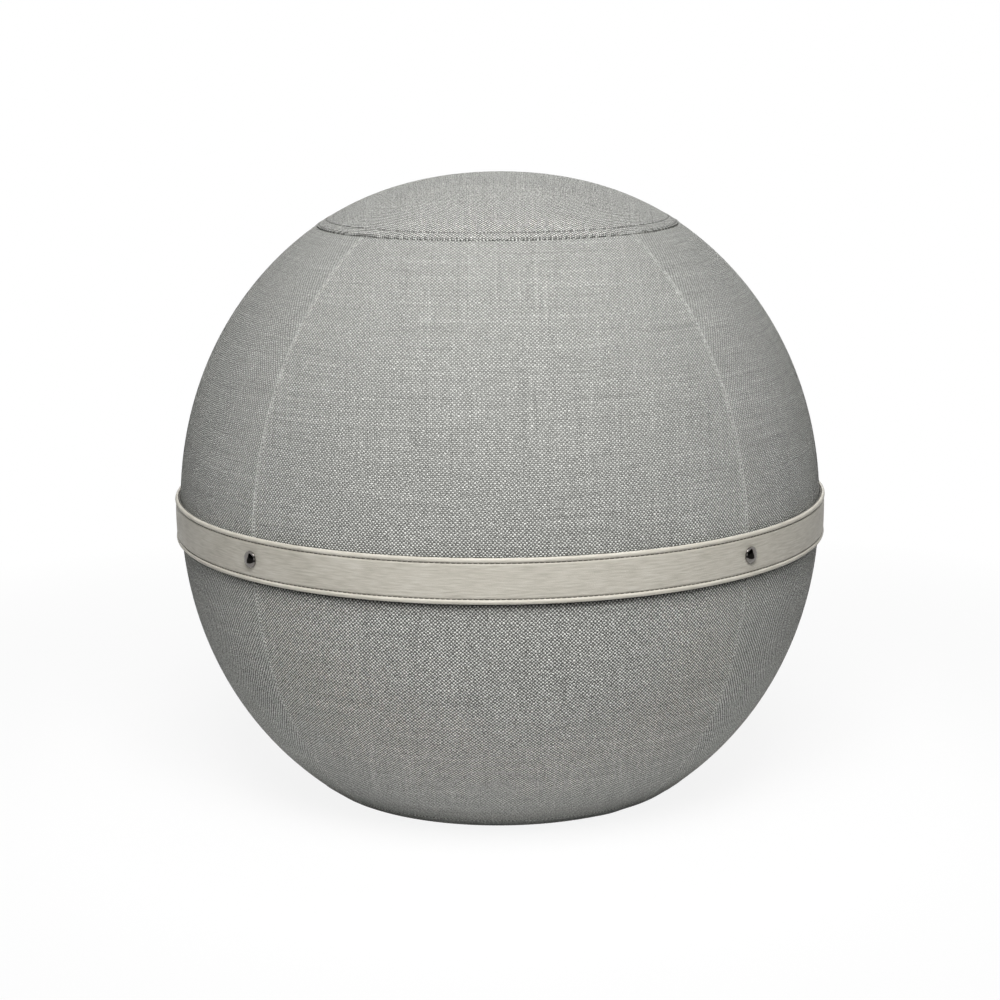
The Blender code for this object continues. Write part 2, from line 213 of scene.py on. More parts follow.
def closeMesh():
    editMode()
    selectAll()
    bpy.ops.mesh.remove_doubles(threshold=weldReach)
    bpy.ops.mesh.normals_make_consistent(inside=False)
    objectMode()


def layCloth(name, columns, rows, place, uvAt, lightShadeAt, wall):
    # a flat grid of cloth, its points moved to where the sewn panel lies, then given its thickness
    deselectAll()
    bpy.ops.mesh.primitive_grid_add(x_subdivisions=columns, y_subdivisions=rows, size=2)
    piece = nameNewPiece(name)
    mesh = piece.data
    cells = []
    for vertex in mesh.vertices:
        cells.append((round((vertex.co.x + 1) / 2 * columns), round((vertex.co.y + 1) / 2 * rows)))
    uvLayer = mesh.uv_layers[0]
    cellUvs = [uvAt(*cell) for cell in cells]
    for loop in mesh.loops:
        uvLayer.data[loop.index].uv = cellUvs[loop.vertex_index]
    # painted highlight and shade along seams, grooves and below the belt, kept on each point
    near = mesh.attributes.new("paintedSeamLight", "FLOAT", "POINT")
    for vertex, cell in zip(mesh.vertices, cells):
        vertex.co = place(*cell)
        near.data[vertex.index].value = lightShadeAt(*cell)
    closeMesh()
    if sum((p.center - clothCentre).dot(p.normal) for p in mesh.polygons) < 0:
        editMode()
        bpy.ops.mesh.flip_normals()
        objectMode()
    bpy.ops.object.shade_smooth()
    solid = piece.modifiers.new("wall", "SOLIDIFY")
    solid.thickness = wall
    solid.offset = -1
    applyModifiers(piece)
    return piece


def spinSection(name, outline, steps, start=0.0, sweep=math.tau):
    # a closed section, drawn on a circle's points and spun round the upright axis
    deselectAll()
    bpy.ops.mesh.primitive_circle_add(vertices=len(outline), radius=0.01)
    piece = nameNewPiece(name)
    for vertex, (radius, height) in zip(piece.data.vertices, outline):
        vertex.co = aroundPoint(radius, start, height)
    editMode()
    selectAll()
    bpy.ops.mesh.spin(steps=steps, angle=sweep, center=(0, 0, 0), axis=(0, 0, 1))
    if sweep < math.tau:
        selectAll()
        bpy.ops.mesh.fill_holes(sides=0)
    objectMode()
    closeMesh()
    smoothBelow(50)
    return piece


def noSeam(column, row):
    return 0.0


def bandUv(piece, middle):
    # unrolled round the ball: along the band and up from its middle
    mesh = piece.data
    layer = mesh.uv_layers[0] if mesh.uv_layers else mesh.uv_layers.new(name="UVMap")
    for polygon in mesh.polygons:
        centreTurn = math.atan2(polygon.center.x, -polygon.center.y)
        for index in polygon.loop_indices:
            spot = mesh.vertices[mesh.loops[index].vertex_index].co
            turn = math.atan2(spot.x, -spot.y)
            turn += math.tau * round((centreTurn - turn) / math.tau)
            layer.data[index].uv = (turn * cover["radius"], spot.z - middle)


def dress(piece, material, body, slotName, *nodes):
    piece.data.materials.clear()
    piece.data.materials.append(material)
    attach(piece, body)
    if nodes:
        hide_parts(*nodes)


# node helpers for the finishes
def newMaterial(name):
    material = bpy.data.materials.new(name)
    material.use_nodes = True
    return material, material.node_tree, material.node_tree.nodes["Principled BSDF"]


def newNode(tree, kind):
    return tree.nodes.new("ShaderNode" + kind)


def feed(tree, socket, value):
    if isinstance(value, (int, float, tuple)):
        socket.default_value = value
    else:
        tree.links.new(value, socket)


def feedAll(tree, sockets, *values):
    for socket, value in zip(sockets, values):
        feed(tree, socket, value)


shaderInputs = dict(colour="Base Color", rough="Roughness", gloss="Specular IOR Level", metallic="Metallic")


def setShader(tree, shader, **values):
    for word, value in values.items():
        feed(tree, shader.inputs[shaderInputs[word]], value)


def sums(tree, operation, *values):
    node = newNode(tree, "Math")
    node.operation = operation
    feedAll(tree, node.inputs, *values)
    return node.outputs[0]


def between(tree, share, first, second):
    node = newNode(tree, "Mix")
    feedAll(tree, (node.inputs[0], node.inputs[2], node.inputs[3]), share, first, second)
    return node.outputs[0]


def ranged(tree, value, low, high, toLow, toHigh):
    node = newNode(tree, "MapRange")
    feedAll(tree, node.inputs, value, low, high, toLow, toHigh)
    return node.outputs[0]


def noiseOf(tree, place, scale, detail):
    noise = newNode(tree, "TexNoise")
    noise.inputs["Scale"].default_value = scale
    noise.inputs["Detail"].default_value = detail
    tree.links.new(place, noise.inputs["Vector"])
    return noise.outputs[0]


def noiseAt(tree, x, y, z, detail=1.0):
    combine = newNode(tree, "CombineXYZ")
    feedAll(tree, combine.inputs, x, y, z)
    return noiseOf(tree, combine.outputs[0], 1.0, detail)


def uvNoise(tree, u, v, scale, seed, detail=1.0):
    x = sums(tree, "MULTIPLY", u, scale[0])
    y = sums(tree, "MULTIPLY", v, scale[1])
    return noiseAt(tree, x, y, seed, detail)


def ramp(tree, value, stops):
    node = newNode(tree, "ValToRGB")
    elements = node.color_ramp.elements
    while len(elements) < len(stops):
        elements.new(0.5)
    for element, (place, colour) in zip(elements, stops):
        element.position = place
        element.color = (*colour, 1.0)
    tree.links.new(value, node.inputs[0])
    return node.outputs[0]


def scaleColour(tree, colour, share):
    node = newNode(tree, "Mix")
    node.data_type = "RGBA"
    node.blend_type = "MULTIPLY"
    node.inputs[0].default_value = 1.0
    tree.links.new(colour, node.inputs[6])
    tree.links.new(share, node.inputs[7])
    return node.outputs[2]


def bumpFrom(tree, shader, height, distance, strength):
    bump = newNode(tree, "Bump")
    bump.inputs["Distance"].default_value = distance
    bump.inputs["Strength"].default_value = strength
    tree.links.new(height, bump.inputs["Height"])
    tree.links.new(bump.outputs[0], shader.inputs["Normal"])


def splitUv(tree):
    uv = newNode(tree, "UVMap")
    uv.uv_map = "UVMap"
    split = newNode(tree, "SeparateXYZ")
    tree.links.new(uv.outputs[0], split.inputs[0])
    return split.outputs[0], split.outputs[1]


# slub linen: pale weft over dark warp, each yarn thick and thin along its length
weave = dict(
    pitch=0.00150,
    drift=1.0,  # how far yarns wander, in yarns
    driftScale=60.0,  # noise to a metre
    jitter=1.15,  # how uneven each yarn's edge is, in yarns
    jitterScale=380.0,
    warp=(0.172, 0.173, 0.160),
    weft=(0.883, 0.889, 0.847),
    yarnStep=5.37,  # far enough apart in the noise that no yarn is like the next
    slub=0.08,  # how much lighter and darker a yarn gets
    slubRange=(0.25, 0.75),
    slubLength=0.014,  # one over the length of a slub, in yarns
    thick=0.10,  # how much lighter it gets where it is thickest
    thickRange=(0.60, 0.68),
    thin=0.08,  # how much darker it gets where it is thinnest
    thinRange=(0.32, 0.40),
    grain=0.20,  # how much lighter and darker single crossings are
    folded=1.4,  # how much less the two colours show on a fold edge
    openAt=0.33,  # how far below the crown seam the weave is stretched open
    openUp=0.090,
    openDown=0.19,
    closed=0.44,  # how much the two colours show where it is not
    patchy=(1.00, 1.20),  # least and most that they show, patch by patch
    patchScale=55.0,
    patchRange=(0.32, 0.66),
    gap=0.42,  # how dark the painted shade between yarns is
    midHeight=0.6,  # a yarn has its middle shade at this height
    midShade=0.75,
    seamShade=0.45,  # how much the painted highlight on welts and the painted shade in grooves count
    relief=0.0011,
    reliefStrength=0.8,
    rough=0.85,
    gloss=0.12,
)


def slubCloth(name, seed, look=weave):
    material, tree, shader = newMaterial(name)
    u, v = splitUv(tree)

    def calc(operation, *values):
        return sums(tree, operation, *values)

    def uneven(scale, seedStep, detail=1.0):
        return uvNoise(tree, u, v, (scale, scale), seed + seedStep, detail)

    def rounded(yarn):
        cell = calc("SUBTRACT", calc("FRACT", yarn), 0.5)
        return calc("MULTIPLY_ADD", calc("MULTIPLY", cell, cell), -4.0, 1.0)

    def yarnTone(yarn, along, seedStep):
        number = calc("MULTIPLY", calc("FLOOR", yarn), look["yarnStep"])
        return noiseAt(tree, number, calc("MULTIPLY", along, look["slubLength"]), seed + seedStep)

    # yarns counted across and along the cloth; tones go by whole yarns, edges are uneven
    across = calc("DIVIDE", u, look["pitch"])
    along = calc("DIVIDE", v, look["pitch"])
    across = calc("MULTIPLY_ADD", uneven(look["driftScale"], 0.0), look["drift"], across)
    along = calc("MULTIPLY_ADD", uneven(look["driftScale"], 7.3), look["drift"], along)
    warpTone = yarnTone(across, along, 1.0)
    weftTone = yarnTone(along, across, 3.0)
    across = calc("MULTIPLY_ADD", uneven(look["jitterScale"], 2.1), look["jitter"], across)
    along = calc("MULTIPLY_ADD", uneven(look["jitterScale"], 9.7), look["jitter"], along)
    warpIndex = calc("FLOOR", across)
    weftIndex = calc("FLOOR", along)
    warpUp = calc("FLOORED_MODULO", calc("ADD", warpIndex, weftIndex), 2.0)

    # the yarn on top is round, and lower towards its ends
    warpRound, weftRound = rounded(across), rounded(along)
    warpTop = calc("MULTIPLY", warpRound, calc("MULTIPLY_ADD", weftRound, 0.5, 0.5))
    weftTop = calc("MULTIPLY", weftRound, calc("MULTIPLY_ADD", warpRound, 0.5, 0.5))
    height = between(tree, warpUp, weftTop, warpTop)

    # tone of the yarn, of the single crossing, and of thick and thin yarns
    topTone = between(tree, warpUp, weftTone, warpTone)
    tone = ranged(tree, topTone, *look["slubRange"], 1 - look["slub"] / 2, 1 + look["slub"] / 2)
    crossing = newNode(tree, "TexWhiteNoise")
    crossing.noise_dimensions = "2D"
    cell = newNode(tree, "CombineXYZ")
    tree.links.new(warpIndex, cell.inputs[0])
    tree.links.new(weftIndex, cell.inputs[1])
    tree.links.new(cell.outputs[0], crossing.inputs["Vector"])
    grain = ranged(tree, crossing.outputs["Value"], 0.0, 1.0, 1 - look["grain"] / 2, 1 + look["grain"] / 2)
    tone = calc("MULTIPLY", tone, grain)
    for lineTone in (weftTone, warpTone):
        thick = ranged(tree, lineTone, *look["thickRange"], 1.0, 1 + look["thick"])
        thin = ranged(tree, lineTone, *look["thinRange"], 1 - look["thin"], 1.0)
        tone = calc("MULTIPLY", calc("MULTIPLY", tone, thick), thin)

    # the two colours show most where the weave is stretched open, and less on fold edges
    contrast = ranged(tree, uneven(look["patchScale"], 5.0, 2.0), *look["patchRange"], *look["patchy"])
    fromOpen = calc("ADD", v, look["openAt"])
    above = calc("DIVIDE", calc("MAXIMUM", fromOpen, 0.0), look["openUp"])
    below = calc("DIVIDE", calc("MINIMUM", fromOpen, 0.0), look["openDown"])
    away = calc("ADD", above, below)
    opened = calc("EXPONENT", calc("MULTIPLY", calc("MULTIPLY", away, away), -1.0))
    opened = calc("MULTIPLY_ADD", opened, 1 - look["closed"], look["closed"])
    contrast = calc("MULTIPLY", contrast, opened)
    near = newNode(tree, "Attribute")
    near.attribute_name = "paintedSeamLight"    # above zero for the painted highlight on fold edges, below zero for painted shade in stitched grooves and under the belt
    onFold = calc("MAXIMUM", near.outputs["Fac"], 0.0)
    contrast = calc("MULTIPLY", contrast, calc("MULTIPLY_ADD", onFold, -look["folded"], 1.0))
    share = calc("MULTIPLY_ADD", calc("SUBTRACT", warpUp, 0.5), contrast, 0.5)
    colour = ramp(tree, share, [(0.0, look["weft"]), (1.0, look["warp"])])

    # painted shade: each yarn darker towards its edges and between yarns, deeper where the weave counts as
    # open
    depth = calc("MULTIPLY", opened, 1 - look["gap"])
    fromMid = calc("SUBTRACT", height, look["midHeight"])
    shade = calc("MULTIPLY", calc("MULTIPLY_ADD", fromMid, depth, look["midShade"]), tone)
    # painted highlight on seam welts; painted shade in seam and stitch grooves and below the belt
    seamTone = calc("MULTIPLY_ADD", near.outputs["Fac"], look["seamShade"], 1.0)
    shade = calc("MULTIPLY", shade, seamTone)
    shaded = scaleColour(tree, colour, shade)
    setShader(tree, shader, colour=shaded, rough=look["rough"], gloss=look["gloss"])
    bumpFrom(tree, shader, height, look["relief"], look["reliefStrength"])
    return material


strapSkin = dict(
    deep=(0.345, 0.324, 0.276),
    colour=(0.468, 0.444, 0.385),
    pale=(0.570, 0.549, 0.494),
    tones=(0.24, 0.5, 0.76),  # where in the noise each of the three stands
    streaks=(75.0, 720.0),  # noise to a metre, along and across the strap
    blotches=(22.0, 40.0),
    pores=(900.0, 2200.0),
    streakTone=0.7,  # share of streaks in the tone, the rest is blotches
    streakGrain=0.65,  # share of streaks in the grain, the rest is pores
    relief=0.0007,
    reliefStrength=0.6,
    rough=(0.47, 0.65),
    roughTones=(0.2, 0.8),
    gloss=0.45,
    beadFrom=0.0138,  # the rolled edges get a painted highlight
    beadTo=0.0150,
    beadHighlight=1.10,
)


def fauxLeather(name, look=strapSkin):
    material, tree, shader = newMaterial(name)
    u, v = splitUv(tree)
    streaks = uvNoise(tree, u, v, look["streaks"], 0.0, 3.0)
    blotches = uvNoise(tree, u, v, look["blotches"], 4.0, 2.0)
    pores = uvNoise(tree, u, v, look["pores"], 9.0)
    tone = between(tree, look["streakTone"], blotches, streaks)
    colours = (look["deep"], look["colour"], look["pale"])
    colour = ramp(tree, tone, list(zip(look["tones"], colours)))
    # painted highlight along both rolled edges of the strap
    fromMiddle = sums(tree, "ABSOLUTE", v)
    beadLight = ranged(tree, fromMiddle, look["beadFrom"], look["beadTo"], 1.0, look["beadHighlight"])
    roughness = ranged(tree, pores, *look["roughTones"], *look["rough"])
    setShader(tree, shader, colour=scaleColour(tree, colour, beadLight), rough=roughness, gloss=look["gloss"])
    grain = between(tree, look["streakGrain"], pores, streaks)
    bumpFrom(tree, shader, grain, look["relief"], look["reliefStrength"])
    return material


# plain finishes: a colour a little lighter and darker from place to place
mottle = dict(low=0.3, high=0.7, detail=4.0, roughSpread=0.15, reliefStrength=0.5)


def mottled(name, colour, rough, scale, relief, metallic=0.0, spread=0.2):
    material, tree, shader = newMaterial(name)
    place = newNode(tree, "TexCoord")
    noise = noiseOf(tree, place.outputs["Object"], scale, mottle["detail"])
    dark = tuple((1 - spread) * c for c in colour)
    pale = tuple(min(1.0, (1 + spread) * c) for c in colour)
    tones = ramp(tree, noise, [(mottle["low"], dark), (0.5, colour), (mottle["high"], pale)])
    smooth = rough * (1 - mottle["roughSpread"])
    coarse = min(1.0, rough * (1 + mottle["roughSpread"]))
    roughness = ranged(tree, noise, mottle["low"], mottle["high"], smooth, coarse)
    setShader(tree, shader, colour=tones, rough=roughness, metallic=metallic)
    bumpFrom(tree, shader, noise, relief, mottle["reliefStrength"])
    return material


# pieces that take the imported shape, with its edges rounded or its cloth swelled
def copyNode(nodeName, name):
    piece = newCopy(name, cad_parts[nodeName].data)
    makeActive(piece)
    editMode()
    selectAll()
    bpy.ops.mesh.remove_doubles(threshold=weldReach)
    bpy.ops.mesh.dissolve_limited(angle_limit=math.radians(1))
    objectMode()
    return piece


def roundEdges(piece, width, segments, sharp, smooth):
    bevel = piece.modifiers.new("edges", "BEVEL")
    bevel.width = width
    bevel.segments = segments
    bevel.limit_method = "ANGLE"
    bevel.angle_limit = math.radians(sharp)
    applyModifiers(piece)
    smoothBelow(smooth)


def roundedCopy(nodeName, name, width, material, body, slotName):
    piece = copyNode(nodeName, name)
    roundEdges(piece, width, segments=2, sharp=35, smooth=40)
    dress(piece, material, body, slotName, nodeName)


def swelledCopy(nodeName, name, material, body, slotName):
    piece = copyNode(nodeName, name)
    swell = piece.modifiers.new("swell", "SUBSURF")
    swell.levels = 2
    swell.render_levels = 2
    applyModifiers(piece)
    bpy.ops.object.shade_smooth()
    dress(piece, material, body, slotName, nodeName)
    return piece


# one stitch modelled, then copied along its line; sewn is the dictionary of the piece it holds
def stitchRow(name, spots, sewn, material, body, slotName):
    deselectAll()
    bpy.ops.mesh.primitive_uv_sphere_add(segments=8, ring_count=5, radius=0.5, rotation=(0, math.pi / 2, 0))
    pattern = nameNewPiece(name + "_one")
    applyPlace()
    editMode()
    selectAll()
    bpy.ops.transform.resize(value=(sewn["threadLength"], sewn["thread"], sewn["thread"]))
    objectMode()
    bpy.ops.object.shade_smooth()
    return copyAlong(name, pattern, spots, material, body, slotName)


def copyAlong(name, pattern, spots, material, body, slotName, *nodes):
    copies = []
    for spot, along, out in spots:
        copy = newCopy(name, pattern.data)
        turn = Matrix((along, out.cross(along), out)).transposed().to_4x4()
        copy.data.transform(Matrix.Translation(spot) @ turn)
        copies.append(copy)
    bpy.data.objects.remove(pattern)
    makeActive(copies[0])
    for copy in copies:
        copy.select_set(True)
    bpy.ops.object.join()
    piece = nameNewPiece(name)
    dress(piece, material, body, slotName, *nodes)
    return piece


probe = 0.01    # how far off a second point is taken, to find a direction


def ringSpots(angle, offset, count):
    # half a step on, so that each stitch lies between two holes
    radius, height = coverPoint(angle, offset)
    innerRadius, innerHeight = coverPoint(angle, offset - probe)
    out = Vector((radius - innerRadius, 0, height - innerHeight)).normalized()
    spots = []
    for i in range(count):
        turn = math.tau * (i + 0.5) / count
        along = Vector((math.cos(turn), math.sin(turn), 0))
        spots.append((aroundPoint(radius, turn, height), along, aroundPoint(out.x, turn, out.z)))
    return spots


# how the cover would go down with the sitter: towards the base, as far as the crown seam travels. These
# numbers are worked out, but sinkWithSeat only gives a piece its own mesh
crownSeamAngle = angleAtCrownRadius(cover["crownSeam"])
crownSeamHeight = coverPoint(crownSeamAngle)[1]
sitter = dict(travel=0.05, anchor=0.012)
sitter["keep"] = 1 - sitter["travel"] / (crownSeamHeight - sitter["anchor"])


def sinkWithSeat(piece):
    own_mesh(piece)


# inside: bladder, its stopper, and the ballast in its pouch
vinyl = mottled("bladder_vinyl", (0.60, 0.60, 0.62), rough=0.42, scale=60.0, relief=0.0003, spread=0.06)
sinkWithSeat(swelledCopy("bladder", "bladder_skin", vinyl, "ball", "bladder_vinyl"))
plugRound = 0.0004
plugPlastic = mottled("plug_plastic", (0.82, 0.82, 0.80), rough=0.45, scale=250.0, relief=0.0001,
                      spread=0.05)
roundedCopy("valve_plug", "bladder_stopper", plugRound, plugPlastic, "valve_plug", "valve_plug_plastic")
pouchCloth = mottled("pouch_cloth", (0.22, 0.22, 0.23), rough=0.95, scale=1100.0, relief=0.0005)
pouch = swelledCopy("ballast_pouch", "ballast_bag", pouchCloth, "ball", "pouch_cloth")
grains = mottled("ballast_grains", (0.45, 0.40, 0.33), rough=0.9, scale=650.0, relief=0.002, spread=0.35)
swelledCopy("ballast_fill", "ballast_heap", grains, "ball", "ballast_granulate")
print("inside packed")

# sewn edges: a welt beside a narrow groove, with a painted highlight on the welt and painted shade in the
# groove
seam = dict(
    groove=0.0010,
    grooveWidth=0.0004,
    welt=0.0003,
    weltAt=0.0011,
    weltWidth=0.0007,
    paintedLight=0.66,  # how pale the welt's painted highlight is
    dark=0.95,  # how dark the painted shade in the groove is
    pucker=0.25,  # how unevenly the stitches draw the welt in, in two waves
    puckerWave=0.0041,
    gather=0.20,
    gatherWave=0.0097,
    gatherPhase=1.3,
)
# rows of points beside a sewn edge, closest at the edge
edgeSteps = [0.0, 0.00005, 0.00025, 0.0005, 0.0008, 0.0011, 0.0015, 0.0020, 0.0027, 0.0038, 0.0056, 0.0085]


def seamInward(distance, along):
    uneven = 1 + seam["pucker"] * math.sin(along / seam["puckerWave"])
    uneven += seam["gather"] * math.sin(along / seam["gatherWave"] + seam["gatherPhase"])
    groove = seam["groove"] * bell(distance, seam["grooveWidth"])
    return groove - seam["welt"] * uneven * bell(distance - seam["weltAt"], seam["weltWidth"])


def spread(index, count, width):
    last = len(edgeSteps) - 1
    if index <= last:
        return edgeSteps[index]
    if count - index <= last:
        return width - edgeSteps[count - index]
    return edgeSteps[last] + (index - last) / (count - 2 * last) * (width - 2 * edgeSteps[last])


# the base seam draws the cloth in beside one front seam, and it bulges a little in front of that
footPucker = dict(
    turn=0.72,
    pull=0.0005,
    pullWidth=0.009,
    bulge=0.0004,
    bulgeAt=0.020,
    bulgeWidth=0.014,
    rise=0.012,  # how far up it is seen
)


def footInward(turn, height):
    side = turnFrom(footPucker["turn"], turn) * cover["footRadius"]
    pull = footPucker["pull"] * bell(side, footPucker["pullWidth"])
    bulge = footPucker["bulge"] * bell(side + footPucker["bulgeAt"], footPucker["bulgeWidth"])
    return math.exp(-height / footPucker["rise"]) * (pull - bulge)


# gores, drawn in a little under the belt's lower edge, with a painted shadow there
gore = dict(columns=104, step=0.0044, topRows=3, footRows=1, zipClear=0.0003)
# depth and width draw the cloth in; shade and shadeWidth set the painted shadow below the belt
pinch = dict(depth=0.0016, width=0.0022, shade=1.9, shadeWidth=0.0028, step=0.0007, count=9)
beltLow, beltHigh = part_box("belt_face")
beltDown = arcAtAngle(angleAtHeight(beltLow.z))
zipFoot = coverPoint(angleAtHeight(cover["baseSeam"]))
zipWidth = 0.014
sideLowArc = arcAtAngle(angleAtHeight(cover["baseSeam"])) - cover["meet"]
backLowArc = sideLowArc - zipWidth - gore["zipClear"]
goreTopArc = arcAtAngle(crownSeamAngle) + cover["crownMeet"]


def belowBelt(down):
    return down + goreTopArc - beltDown


def goreRows(length):
    # close together at both sewn edges and under the belt, even in between
    rows = edgeSteps + [length - step for step in edgeSteps]
    rows += [beltDown - goreTopArc + k * pinch["step"] for k in range(-pinch["count"], pinch["count"] + 1)]
    inner = int(length / gore["step"])
    for k in range(gore["topRows"], inner - gore["footRows"]):
        down = length * k / inner
        if abs(belowBelt(down)) > pinch["count"] * pinch["step"] + gore["step"] / 2:
            rows.append(down)
    return sorted(rows)


def makeGore(name, azimuth, lowArc):
    length = lowArc - goreTopArc
    rowsDown = goreRows(length)
    rowAngles = [angleAtArc(goreTopArc + down) for down in rowsDown]
    rowPoints = [coverPoint(angle) for angle in rowAngles]
    lastRow = len(rowsDown) - 1

    def lay(column, row):
        width = 2 * (goreHalf * rowPoints[row][0] - cover["meet"])
        return rowsDown[row], spread(column, gore["columns"], width), width

    def place(column, row):
        down, across, width = lay(column, row)
        radius, height = rowPoints[row]
        turn = azimuth + (across - width / 2) / radius
        inward = seamInward(min(across, width - across), down)
        inward += seamInward(min(down, length - down), across) + footInward(turn, height)
        inward += pinch["depth"] * bell(belowBelt(down), pinch["width"])
        if row == 0:
            inward += cover["crownTurnIn"]
        elif column in (0, gore["columns"]) or row == lastRow:
            inward += cover["turnIn"]
        radius, height = coverPoint(rowAngles[row], -inward)
        return aroundPoint(radius, turn, height)

    def uvAt(column, row):
        down, across, width = lay(column, row)
        return across - width / 2, -down

    # painted highlight on the welts and painted shade in the grooves beside each sewn edge
    def lightShadeAt(column, row):
        down, across, width = lay(column, row)
        fromSeam = min(across, width - across)
        paintedLight = seam["paintedLight"] * bell(fromSeam - seam["weltAt"], seam["weltWidth"])
        paintedLight -= seam["dark"] * bell(fromSeam, seam["grooveWidth"])
        # painted shadow on the cloth just below the belt's lower edge
        return paintedLight - pinch["shade"] * bell(belowBelt(down), pinch["shadeWidth"])

    return layCloth(name, gore["columns"], lastRow, place, uvAt, lightShadeAt, cover["wall"])


goreLows = dict(front=sideLowArc, right=sideLowArc, back=backLowArc, left=sideLowArc)
for index, (word, lowArc) in enumerate(goreLows.items()):
    piece = makeGore("cover_gore_" + word, index * math.pi / 2, lowArc)
    dress(piece, slubCloth("slub_cloth_" + word, seed=11.0 * index), "ball", "cover_fabric", "gore_" + word)
    sinkWithSeat(piece)
print("gores sewn")

# crown panel: doubled at its edge, and topstitched there in two rows
crown = dict(
    stitches=262,
    stitchAt=(0.0020, 0.0095),
    band=0.0110,
    bandProud=0.0003,
    bandFade=0.0008,
    edgeRows=9,  # rows at the sewn edge, then beside each line of stitches, then further in
    rowStep=0.0004,
    rowsBeside=4,
    bandRows=[0.0125, 0.0150],
    innerRows=22,
    groove=0.0005,
    grooveWidth=0.0006,
    hole=0.0005,
    sink=0.0032,  # how much flatter the top lies than a full curve
    dark=0.45,  # how dark the painted shade in the stitched grooves is
    thread=0.0008,
    threadLength=0.0030,
    threadProud=-0.0001,
)
crown["columns"] = 2 * crown["stitches"]
crownArc = arcAtAngle(crownSeamAngle) - cover["crownMeet"]
crownSteps = set(edgeSteps[:crown["edgeRows"]])
for stitchAt in crown["stitchAt"]:
    for k in range(-crown["rowsBeside"], crown["rowsBeside"] + 1):
        crownSteps.add(round(stitchAt + crown["rowStep"] * k, 6))
crownSteps = sorted(step for step in crownSteps if step >= 0) + crown["bandRows"]
bandEnd = crownSteps[-1]
for i in range(crown["innerRows"]):
    crownSteps.append(bandEnd + (crownArc - bandEnd) * (i + 1) / crown["innerRows"])
crownRows = len(crownSteps) - 1


def inStitches(fromEdge):
    return sum(bell(fromEdge - at, crown["grooveWidth"]) for at in crown["stitchAt"])


def crownGroove(fromEdge, column):
    hole = crown["hole"] if column % 2 == 0 else 0.0
    return (crown["groove"] + hole) * inStitches(fromEdge)


def crownPlace(column, row):
    fromEdge = crownSteps[row]
    turn = math.tau * (column % crown["columns"]) / crown["columns"]
    inward = seamInward(fromEdge, turn * cover["crownSeam"]) + crownGroove(fromEdge, column)
    inward -= crown["bandProud"] / (1 + math.exp((fromEdge - crown["band"]) / crown["bandFade"]))
    if row == 0:
        inward += cover["crownTurnIn"]
    radius, height = coverPoint(angleAtArc(crownArc - fromEdge), -inward)
    flat = max(0.0, 1 - (radius / cover["crownSeam"]) ** 2) ** 2
    return aroundPoint(0.0 if row == crownRows else radius, turn, height - crown["sink"] * flat)


def crownUv(column, row):
    turn = math.tau * column / crown["columns"]
    return (crownArc - crownSteps[row]) * math.sin(turn), (crownSteps[row] - crownArc) * math.cos(turn)


# painted shade along the two stitched grooves
def crownGrooveShade(column, row):
    return -crown["dark"] * inStitches(crownSteps[row])


crownPiece = layCloth("cover_crown", crown["columns"], crownRows, crownPlace, crownUv, crownGrooveShade,
                      cover["wall"])
crownWeave = dict(weave, closed=0.84)
crownCloth = slubCloth("slub_cloth_crown", seed=51.0, look=crownWeave)
dress(crownPiece, crownCloth, "seat", "cover_fabric", "crown_panel")
crownThread = mottled("crown_thread", (0.190, 0.190, 0.178), rough=0.85, scale=900.0, relief=0.0002)
for number, fromEdge in enumerate(crown["stitchAt"], 1):
    spots = ringSpots(angleAtArc(crownArc - fromEdge), crown["threadProud"], crown["stitches"])
    row = stitchRow("crown_stitches_%d" % number, spots, crown, crownThread, "seat", "cover_fabric")
print("crown stitched")

# base: the cover's hem runs down to the floor, round a dark sole
hem = dict(columns=240, foot=0.0012, seamShare=0.5, tuck=0.0035, tuckRows=3, tuckLift=0.0003, wall=0.0012)
hemTop = arcAtAngle(angleAtHeight(cover["baseSeam"])) + cover["meet"]
hemFoot = arcAtAngle(angleAtHeight(hem["foot"]))
hemSteps = [0.0, 0.00005, 0.00025, 0.0005, 0.0008, 0.0012, 0.0018, 0.0026, 0.0036, 0.0048, 0.0062]
hemSteps = [step for step in hemSteps if step < hemFoot - hemTop] + [hemFoot - hemTop]


def hemPoint(row, turn):
    if row < len(hemSteps):
        angle = angleAtArc(hemTop + hemSteps[row])
        height = coverPoint(angle)[1]
        inward = hem["seamShare"] * seamInward(hemSteps[row], turn * cover["footRadius"])
        inward += footInward(turn, height)
        if row == 0:
            inward += cover["turnIn"]
        return coverPoint(angle, -inward)
    radius, height = hemPoint(len(hemSteps) - 1, turn)
    tuckShare = (row - len(hemSteps) + 1) / hem["tuckRows"]
    height = height * (1 - tuckShare) ** 2 + hem["tuckLift"] * tuckShare
    return radius - hem["tuck"] * tuckShare, height


def hemPlace(column, row):
    turn = math.tau * (column % hem["columns"]) / hem["columns"]
    radius, height = hemPoint(row, turn)
    return aroundPoint(radius, turn, height)


def hemUv(column, row):
    turn = math.tau * column / hem["columns"]
    return turn * cover["footRadius"], -hemTop - hemSteps[min(row, len(hemSteps) - 1)]


hemRows = len(hemSteps) - 1 + hem["tuckRows"]
hemPiece = layCloth("cover_hem", hem["columns"], hemRows, hemPlace, hemUv, noSeam, hem["wall"])
dress(hemPiece, slubCloth("slub_cloth_hem", seed=83.0), "ball", "cover_fabric")

sole = dict(columns=120, rows=26, inset=0.0042, edge=0.0012, edgeFade=0.003, wall=0.0016)
sole["radius"] = coverPoint(angleAtHeight(hem["foot"]))[0] - sole["inset"]


def soleRadius(row):
    return sole["radius"] * (1 - row / sole["rows"])


def solePlace(column, row):
    turn = math.tau * column / sole["columns"]
    lift = sole["edge"] * math.exp(-(sole["radius"] - soleRadius(row)) / sole["edgeFade"])
    return aroundPoint(soleRadius(row), turn, lift)


